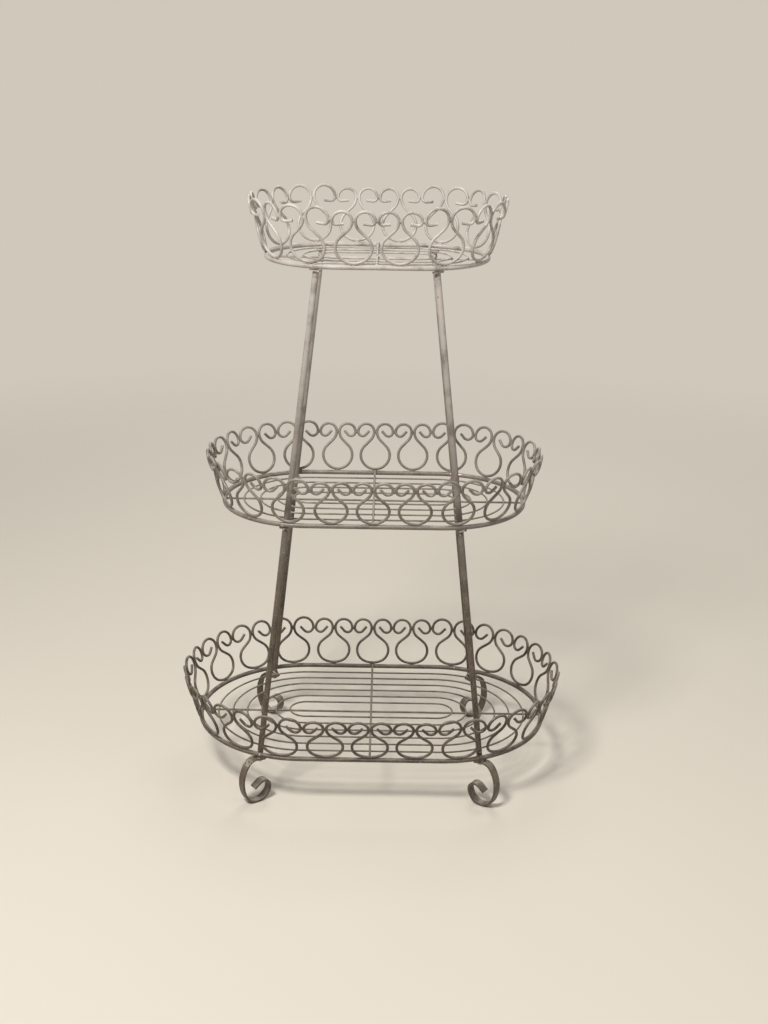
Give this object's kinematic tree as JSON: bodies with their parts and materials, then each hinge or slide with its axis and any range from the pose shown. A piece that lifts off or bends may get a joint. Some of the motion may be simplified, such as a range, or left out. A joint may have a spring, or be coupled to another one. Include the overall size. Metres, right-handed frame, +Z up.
{
  "type": "plant stand",
  "caption": "Three-tier oval plant stand in painted wrought wire: scroll-walled baskets of falling size on four splayed tube legs with scroll feet.",
  "frame": {"origin": "on the floor under the middle of the stand", "axes": "+Z up, +X along the long side of the baskets, front looks towards -Y"},
  "size_m": [0.6658, 0.4394, 1.0022],
  "materials": {
    "frame_paint": "dark bronze-brown paint, satin, worn",
    "wire_paint": "dark bronze-brown paint, satin, dusty",
    "bolt_steel": "zinc-plated steel, dull",
    "insert_steel": "zinc-plated steel, dull"
  },
  "bodies": {
    "root": {"back_left_foot": "frame_paint", "back_right_foot": "frame_paint", "bottom_back_scrolls": "wire_paint", "bottom_cross_rail": "wire_paint", "bottom_floor_loop_1": "wire_paint", "bottom_floor_loop_2": "wire_paint", "bottom_floor_loop_3": "wire_paint", "bottom_floor_loop_4": "wire_paint", "bottom_floor_loop_5": "wire_paint", "bottom_floor_loop_6": "wire_paint", "bottom_front_scrolls": "wire_paint", "bottom_left_scrolls": "wire_paint", "bottom_long_rail": "wire_paint", "bottom_lugs": "frame_paint", "bottom_right_scrolls": "wire_paint", "bottom_ring": "frame_paint", "foot_bolts": "bolt_steel", "front_left_foot": "frame_paint", "front_right_foot": "frame_paint", "leg_studs": "bolt_steel", "lower_back_left_leg": "frame_paint", "lower_back_right_leg": "frame_paint", "lower_front_left_leg": "frame_paint", "lower_front_right_leg": "frame_paint", "lower_leg_inserts": "insert_steel", "middle_back_scrolls": "wire_paint", "middle_cross_rail": "wire_paint", "middle_floor_loop_1": "wire_paint", "middle_floor_loop_2": "wire_paint", "middle_floor_loop_3": "wire_paint", "middle_floor_loop_4": "wire_paint", "middle_front_scrolls": "wire_paint", "middle_left_scrolls": "wire_paint", "middle_long_rail": "wire_paint", "middle_lugs": "frame_paint", "middle_right_scrolls": "wire_paint", "middle_ring": "frame_paint", "top_back_scrolls": "wire_paint", "top_bolts": "bolt_steel", "top_cross_rail": "wire_paint", "top_floor_loop_1": "wire_paint", "top_floor_loop_2": "wire_paint", "top_floor_loop_3": "wire_paint", "top_front_scrolls": "wire_paint", "top_left_scrolls": "wire_paint", "top_long_rail": "wire_paint", "top_lugs": "frame_paint", "top_right_scrolls": "wire_paint", "top_ring": "frame_paint", "upper_back_left_leg": "frame_paint", "upper_back_right_leg": "frame_paint", "upper_front_left_leg": "frame_paint", "upper_front_right_leg": "frame_paint", "upper_leg_inserts": "insert_steel"}
  },
  "joints": []
}
